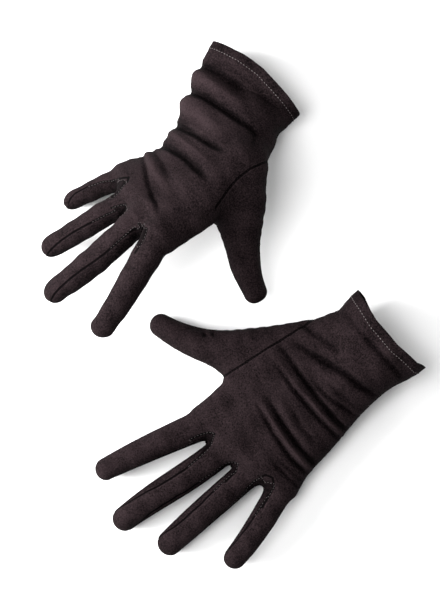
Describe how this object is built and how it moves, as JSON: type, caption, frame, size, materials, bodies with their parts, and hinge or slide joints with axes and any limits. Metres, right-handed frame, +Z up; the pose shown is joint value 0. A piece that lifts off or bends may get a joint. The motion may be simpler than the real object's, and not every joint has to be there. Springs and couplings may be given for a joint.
{
  "type": "pair of short dress gloves",
  "caption": "Pair of wrist-length stretch-knit dress gloves with fourchette-sewn fingers, wrap thumbs and turned-up hems, spread as worn.",
  "frame": {"origin": "on the table, under the middle of the pair's bounding box", "axes": "+Y towards the fingertips, +X from the left glove to the right glove, +Z up, away from the table"},
  "size_m": [0.255, 0.2796, 0.0774],
  "materials": {
    "black_knit": "matte brushed stretch knit",
    "hem_knit": "matte, inner side of the knit",
    "thread": "spun sewing thread"
  },
  "bodies": {
    "left_hand": {"left_back_panel": "black_knit", "left_palm_panel": "black_knit", "left_cuff_hem": "hem_knit", "left_hem_topstitch": "thread", "left_thumb_seam_thread": "thread"},
    "left_thumb": {"left_thumb_panel": "black_knit"},
    "left_index": {"left_index_back": "black_knit", "left_index_fourchette": "black_knit", "left_index_palm": "black_knit"},
    "left_middle": {"left_middle_back": "black_knit", "left_middle_fourchette_little_side": "black_knit", "left_middle_fourchette_thumb_side": "black_knit", "left_middle_palm": "black_knit"},
    "left_ring": {"left_ring_back": "black_knit", "left_ring_fourchette_little_side": "black_knit", "left_ring_fourchette_thumb_side": "black_knit", "left_ring_palm": "black_knit"},
    "left_little": {"left_little_back": "black_knit", "left_little_fourchette": "black_knit", "left_little_palm": "black_knit"},
    "right_hand": {"right_back_panel": "black_knit", "right_palm_panel": "black_knit", "right_cuff_hem": "hem_knit", "right_hem_topstitch": "thread", "right_thumb_seam_thread": "thread"},
    "right_thumb": {"right_thumb_panel": "black_knit"},
    "right_index": {"right_index_back": "black_knit", "right_index_fourchette": "black_knit", "right_index_palm": "black_knit"},
    "right_middle": {"right_middle_back": "black_knit", "right_middle_fourchette_little_side": "black_knit", "right_middle_fourchette_thumb_side": "black_knit", "right_middle_palm": "black_knit"},
    "right_ring": {"right_ring_back": "black_knit", "right_ring_fourchette_little_side": "black_knit", "right_ring_fourchette_thumb_side": "black_knit", "right_ring_palm": "black_knit"},
    "right_little": {"right_little_back": "black_knit", "right_little_fourchette": "black_knit", "right_little_palm": "black_knit"}
  },
  "joints": [
    {"name": "left_thumb_flex", "type": "hinge", "parent": "left_hand", "child": "left_thumb", "pos_m": [-0.03739, -0.0144, 0.00404], "axis": [0.2026, 0.9771, -0.0651], "range_deg": [0, 45]},
    {"name": "left_index_flex", "type": "hinge", "parent": "left_hand", "child": "left_index", "pos_m": [-0.04267, 0.05443, 0.00435], "axis": [-0.9272, 0.3746, 0], "range_deg": [0, 70]},
    {"name": "left_middle_flex", "type": "hinge", "parent": "left_hand", "child": "left_middle", "pos_m": [-0.06459, 0.05752, 0.00562], "axis": [-0.9903, 0.1392, 0], "range_deg": [0, 70]},
    {"name": "left_ring_flex", "type": "hinge", "parent": "left_hand", "child": "left_ring", "pos_m": [-0.08702, 0.05325, 0.00651], "axis": [-0.9976, 0.0698, 0], "range_deg": [0, 70]},
    {"name": "left_little_flex", "type": "hinge", "parent": "left_hand", "child": "left_little", "pos_m": [-0.10934, 0.04685, 0.0073], "axis": [-0.9659, -0.2588, 0], "range_deg": [0, 70]},
    {"name": "right_thumb_flex", "type": "hinge", "parent": "right_hand", "child": "right_thumb", "pos_m": [0.05728, -0.08582, 0.05724], "axis": [-0.0888, 0.8629, 0.4975], "range_deg": [0, 45]},
    {"name": "right_index_flex", "type": "hinge", "parent": "right_hand", "child": "right_index", "pos_m": [0.05457, -0.01466, 0.05963], "axis": [-0.8209, -0.1394, 0.5538], "range_deg": [0, 30]},
    {"name": "right_middle_flex", "type": "hinge", "parent": "right_hand", "child": "right_middle", "pos_m": [0.07067, -0.01126, 0.04754], "axis": [-0.7348, 0.1778, 0.6545], "range_deg": [0, 70]},
    {"name": "right_ring_flex", "type": "hinge", "parent": "right_hand", "child": "right_ring", "pos_m": [0.08495, -0.0162, 0.03267], "axis": [-0.5253, 0.3877, 0.7575], "range_deg": [0, 50]},
    {"name": "right_little_flex", "type": "hinge", "parent": "right_hand", "child": "right_little", "pos_m": [0.09802, -0.02627, 0.01642], "axis": [-0.3283, 0.3978, 0.8567], "range_deg": [0, 70]},
    {"name": "right_glove_lift", "type": "slide", "parent": "left_hand", "child": "right_hand", "axis": [0, 0, 1], "range_m": [0, 0.12]}
  ]
}
